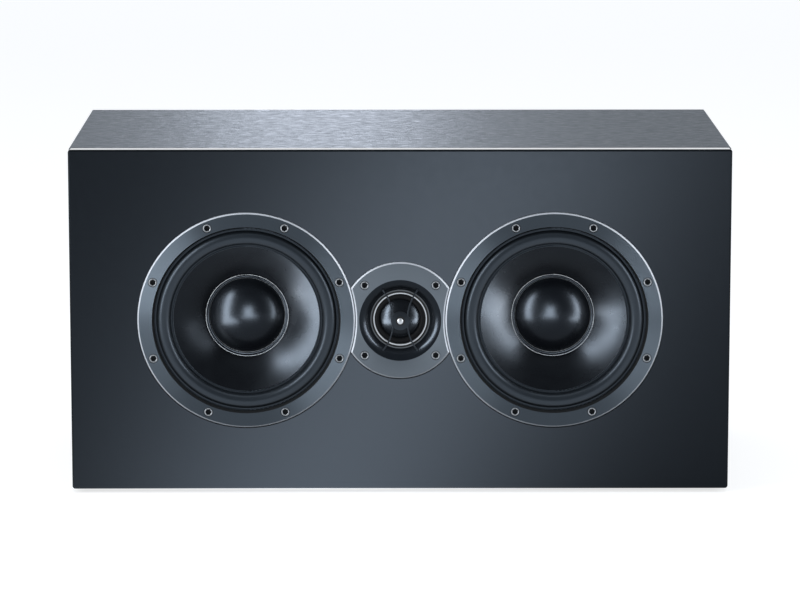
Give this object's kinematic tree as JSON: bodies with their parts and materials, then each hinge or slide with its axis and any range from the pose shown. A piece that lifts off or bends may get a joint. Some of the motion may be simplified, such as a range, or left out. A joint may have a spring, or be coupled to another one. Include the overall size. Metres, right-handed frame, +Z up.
{
  "type": "center channel speaker",
  "caption": "Low wide center channel speaker: cone woofers either side of a dome tweeter with a short horn, gloss front, brushed wrap and a rear terminal recess.",
  "frame": {"origin": "middle of the footprint, on the plane that the feet stand on", "axes": "+X to the right seen from the front, +Y to the back, +Z up"},
  "size_m": [0.47, 0.244, 0.248],
  "materials": {
    "gloss_lacquer": "polished dark lacquer on board",
    "brushed_wrap": "brushed blue-grey foil on board",
    "black_foil": "matt black foil on board",
    "fibreboard": "raw fibreboard",
    "satin_frame": "satin dark grey coat on cast metal",
    "gloss_cone": "gloss black",
    "soft_rubber": "satin black rubber",
    "foam_gasket": "matt black foam",
    "bright_trim": "bright turned",
    "dome_cloth": "coated black cloth",
    "treated_cloth": "resin-treated cloth",
    "coil_wire": "enamelled copper winding",
    "plated_steel": "zinc-plated steel",
    "ferrite": "sintered ferrite",
    "screw_steel": "blackened steel",
    "black_moulding": "moulded, satin",
    "red_knob": "moulded red, satin",
    "post_metal": "plated brass",
    "board_laminate": "printed circuit laminate",
    "white_nylon": "moulded nylon",
    "capacitor_film": "wrapped film",
    "resistor_body": "ceramic",
    "fleece": "polyester wadding",
    "lead_insulation": "insulated stranded wire"
  },
  "bodies": {
    "cabinet": {"bass_choke": "coil_wire", "black_post_stud": "post_metal", "bottom_panel": "brushed_wrap", "crossover_board": "board_laminate", "crossover_capacitors": "capacitor_film", "crossover_pegs": "white_nylon", "crossover_resistor": "resistor_body", "damping_fleece": "fleece", "front_panel": "gloss_lacquer", "hookup_leads": "lead_insulation", "inner_baffle": "fibreboard", "left_side_panel": "brushed_wrap", "left_woofer_basket": "satin_frame", "left_woofer_gasket": "foam_gasket", "left_woofer_magnet": "ferrite", "left_woofer_screws": "screw_steel", "left_woofer_spider": "treated_cloth", "left_woofer_surround": "soft_rubber", "left_woofer_terminal_strip": "board_laminate", "left_woofer_top_plate": "plated_steel", "left_woofer_yoke": "plated_steel", "post_nuts": "post_metal", "rear_panel": "black_foil", "red_post_stud": "post_metal", "right_side_panel": "brushed_wrap", "right_woofer_basket": "satin_frame", "right_woofer_gasket": "foam_gasket", "right_woofer_magnet": "ferrite", "right_woofer_screws": "screw_steel", "right_woofer_spider": "treated_cloth", "right_woofer_surround": "soft_rubber", "right_woofer_terminal_strip": "board_laminate", "right_woofer_top_plate": "plated_steel", "right_woofer_yoke": "plated_steel", "rubber_feet": "soft_rubber", "terminal_cup": "black_moulding", "terminal_gasket": "foam_gasket", "terminal_screws": "screw_steel", "top_panel": "brushed_wrap", "treble_choke": "coil_wire", "tweeter_faceplate": "satin_frame", "tweeter_gasket": "foam_gasket", "tweeter_magnet": "ferrite", "tweeter_phase_plug": "black_moulding", "tweeter_plug_pin": "bright_trim", "tweeter_rear_chamber": "black_moulding", "tweeter_screws": "screw_steel", "tweeter_top_plate": "plated_steel", "tweeter_trim_ring": "bright_trim", "tweeter_yoke": "plated_steel"},
    "red_knob": {"red_post_knob": "red_knob"},
    "black_knob": {"black_post_knob": "black_moulding"},
    "tweeter_dome": {"tweeter_diaphragm": "dome_cloth", "tweeter_voice_coil": "coil_wire"},
    "left_cone": {"left_woofer_cone": "gloss_cone", "left_woofer_dust_cap": "gloss_cone", "left_woofer_voice_coil": "coil_wire"},
    "right_cone": {"right_woofer_cone": "gloss_cone", "right_woofer_dust_cap": "gloss_cone", "right_woofer_voice_coil": "coil_wire"}
  },
  "joints": [
    {"name": "left_cone_travel", "type": "slide", "parent": "cabinet", "child": "left_cone", "axis": [0, -1, 0], "range_m": [-0.005, 0.005], "stiffness_N_per_m": 1100, "deforming": ["left_woofer_surround", "left_woofer_spider"]},
    {"name": "right_cone_travel", "type": "slide", "parent": "cabinet", "child": "right_cone", "axis": [0, -1, 0], "range_m": [-0.005, 0.005], "stiffness_N_per_m": 1100, "deforming": ["right_woofer_surround", "right_woofer_spider"]},
    {"name": "tweeter_dome_travel", "type": "slide", "parent": "cabinet", "child": "tweeter_dome", "axis": [0, -1, 0], "range_m": [-0.0003, 0.0003], "stiffness_N_per_m": 600, "deforming": ["tweeter_diaphragm"]},
    {"name": "red_knob_turn", "type": "hinge", "parent": "cabinet", "child": "red_knob", "pos_m": [-0.0095, 0.1053, 0.1255], "axis": [0, 1, 0], "range_deg": [0, 1080]},
    {"name": "black_knob_turn", "type": "hinge", "parent": "cabinet", "child": "black_knob", "pos_m": [0.0095, 0.1053, 0.1255], "axis": [0, 1, 0], "range_deg": [0, 1080]}
  ]
}
